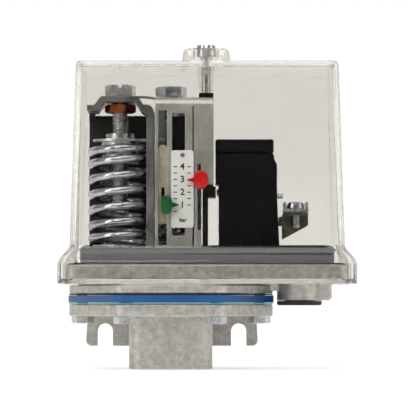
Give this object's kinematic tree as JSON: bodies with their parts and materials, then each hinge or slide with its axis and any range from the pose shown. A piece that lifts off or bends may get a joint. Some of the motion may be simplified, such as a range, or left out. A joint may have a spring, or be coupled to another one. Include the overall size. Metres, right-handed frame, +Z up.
{
  "type": "pressure switch",
  "caption": "Diaphragm pressure switch with a clear cover over its spring, scale and snap switch, on a hexagonal cast flange with a port boss and wall ears.",
  "frame": {"origin": "centre of the bounding box at the face of the pressure port", "axes": "+Z up through the cover, out of the cover screw; +X to the right towards the terminals as the scale is read; -Y is the front, with the scale"},
  "size_m": [0.107, 0.0666, 0.1179],
  "materials": {
    "cast_aluminium": "grainy as-cast",
    "sheet_steel": "satin rolled sheet",
    "zinc_plated_steel": "bright zinc plate",
    "coppered_steel": "coppered",
    "brass": "rolled",
    "black_plastic": "moulded, satin",
    "blackened_steel": "blackened",
    "black_rubber": "matt",
    "blue_plastic": "satin",
    "green_gasket": "matt",
    "red_plastic": "moulded",
    "green_plastic": "moulded",
    "cream_plastic": "moulded",
    "printed_scale": "matt white with black print",
    "clear_plastic": "clear moulded",
    "terminal_metal": "passivated"
  },
  "bodies": {
    "base": {"port_flange": "cast_aluminium", "port_gasket": "green_gasket", "spacer_ring": "blue_plastic", "diaphragm": "black_rubber", "base_casting": "cast_aluminium", "flange_screw_1": "zinc_plated_steel", "flange_screw_2": "zinc_plated_steel", "flange_screw_3": "zinc_plated_steel", "flange_screw_4": "zinc_plated_steel", "flange_screw_5": "zinc_plated_steel", "flange_screw_6": "zinc_plated_steel", "entry_plug": "black_rubber", "cover_seal": "black_rubber", "spring_bridge": "sheet_steel", "backing_plate": "blackened_steel", "main_bracket": "sheet_steel", "scale_plate": "printed_scale", "scale_screw": "zinc_plated_steel", "locking_leaf": "sheet_steel", "pivot_pin": "zinc_plated_steel", "main_spring": "zinc_plated_steel", "differential_spring": "zinc_plated_steel", "switch_housing": "black_plastic", "switch_lid": "black_plastic", "switch_pin": "zinc_plated_steel", "contact_closed": "brass", "contact_open": "brass", "terminal_bracket_1": "terminal_metal", "terminal_bracket_2": "terminal_metal", "terminal_bracket_3": "terminal_metal"},
    "main_screw": {"main_adjusting_screw": "zinc_plated_steel", "retaining_nut": "coppered_steel"},
    "main_carriage": {"main_spring_carriage": "zinc_plated_steel", "pointer_guide": "cream_plastic", "green_pointer": "green_plastic"},
    "differential_screw": {"differential_screw": "zinc_plated_steel"},
    "differential_slider": {"differential_carriage": "black_plastic", "red_pointer": "red_plastic"},
    "rocker": {"rocker": "blackened_steel", "lower_spring_seat": "zinc_plated_steel", "differential_spring_seat": "zinc_plated_steel"},
    "plunger": {"pressure_plate": "zinc_plated_steel", "plunger_pin": "zinc_plated_steel"},
    "switch_plunger": {"switch_plunger": "brass"},
    "contact_blade": {"contact_blade": "brass"},
    "cover": {"cover": "clear_plastic"},
    "cover_screw": {"cover_screw": "zinc_plated_steel", "screw_ring": "black_plastic"},
    "terminal_clamp_1": {"terminal_clamp_1": "zinc_plated_steel"},
    "terminal_screw_1": {"terminal_screw_1": "zinc_plated_steel"},
    "terminal_clamp_2": {"terminal_clamp_2": "zinc_plated_steel"},
    "terminal_screw_2": {"terminal_screw_2": "zinc_plated_steel"},
    "terminal_clamp_3": {"terminal_clamp_3": "zinc_plated_steel"},
    "terminal_screw_3": {"terminal_screw_3": "zinc_plated_steel"}
  },
  "joints": [
    {"name": "main_screw_turn", "type": "hinge", "parent": "base", "child": "main_screw", "pos_m": [-0.0317, 0, 0.0992], "axis": [0, 0, 1], "range_deg": [-1975, 1435]},
    {"name": "main_setting", "type": "slide", "parent": "base", "child": "main_carriage", "axis": [0, 0, 1], "range_m": [-0.004, 0.0055], "deforming": ["main_spring"]},
    {"name": "differential_screw_turn", "type": "hinge", "parent": "base", "child": "differential_screw", "pos_m": [-0.0132, 0, 0.099], "axis": [0, 0, 1], "range_deg": [-1615, 3235]},
    {"name": "differential_setting", "type": "slide", "parent": "base", "child": "differential_slider", "axis": [0, 0, 1], "range_m": [-0.009, 0.0045], "deforming": ["differential_spring"]},
    {"name": "rocker_tilt", "type": "hinge", "parent": "base", "child": "rocker", "pos_m": [-0.0007, 0, 0.0395], "axis": [0, 1, 0], "range_deg": [0, 1], "stiffness_Nm_per_rad": 0.5, "springref_deg": -1.15},
    {"name": "plunger_lift", "type": "slide", "parent": "base", "child": "plunger", "axis": [0, 0, 1], "range_m": [0, 0.0003]},
    {"name": "switch_plunger_travel", "type": "slide", "parent": "base", "child": "switch_plunger", "axis": [1, 0, 0], "range_m": [0, 0.0005]},
    {"name": "contact_blade_tilt", "type": "hinge", "parent": "base", "child": "contact_blade", "pos_m": [0.0144, 0, 0.0484], "axis": [0, 1, 0], "range_deg": [0, 1.65]},
    {"name": "cover_lift", "type": "slide", "parent": "base", "child": "cover", "axis": [0, 0, 1], "range_m": [0, 0.08]},
    {"name": "cover_screw_turn", "type": "hinge", "parent": "cover", "child": "cover_screw", "pos_m": [-0.0004, 0, 0.1129], "axis": [0, 0, 1], "range_deg": [0, 2016]},
    {"name": "terminal_screw_1_turn", "type": "hinge", "parent": "terminal_clamp_1", "child": "terminal_screw_1", "pos_m": [0.032, -0.0085, 0.0577], "axis": [0, 0, 1], "range_deg": [0, 1020]},
    {"name": "terminal_clamp_1_lift", "type": "slide", "parent": "base", "child": "terminal_clamp_1", "axis": [0, 0, 1], "range_m": [0, 0.002]},
    {"name": "terminal_screw_2_turn", "type": "hinge", "parent": "terminal_clamp_2", "child": "terminal_screw_2", "pos_m": [0.032, 0, 0.0577], "axis": [0, 0, 1], "range_deg": [0, 1020]},
    {"name": "terminal_clamp_2_lift", "type": "slide", "parent": "base", "child": "terminal_clamp_2", "axis": [0, 0, 1], "range_m": [0, 0.002]},
    {"name": "terminal_screw_3_turn", "type": "hinge", "parent": "terminal_clamp_3", "child": "terminal_screw_3", "pos_m": [0.032, 0.0085, 0.0577], "axis": [0, 0, 1], "range_deg": [0, 1020]},
    {"name": "terminal_clamp_3_lift", "type": "slide", "parent": "base", "child": "terminal_clamp_3", "axis": [0, 0, 1], "range_m": [0, 0.002]}
  ],
  "couplings": [
    {"joint": "main_setting", "follows": "main_screw_turn", "m_per_rad": -0.00015915},
    {"joint": "differential_setting", "follows": "differential_screw_turn", "m_per_rad": -0.00015915},
    {"joint": "plunger_lift", "follows": "rocker_tilt", "m_per_rad": 0.0125},
    {"joint": "switch_plunger_travel", "follows": "rocker_tilt", "m_per_rad": 0.0245},
    {"joint": "contact_blade_tilt", "follows": "rocker_tilt", "ratio": 1.5705},
    {"joint": "terminal_clamp_1_lift", "follows": "terminal_screw_1_turn", "m_per_rad": 0.00011141},
    {"joint": "terminal_clamp_2_lift", "follows": "terminal_screw_2_turn", "m_per_rad": 0.00011141},
    {"joint": "terminal_clamp_3_lift", "follows": "terminal_screw_3_turn", "m_per_rad": 0.00011141}
  ]
}
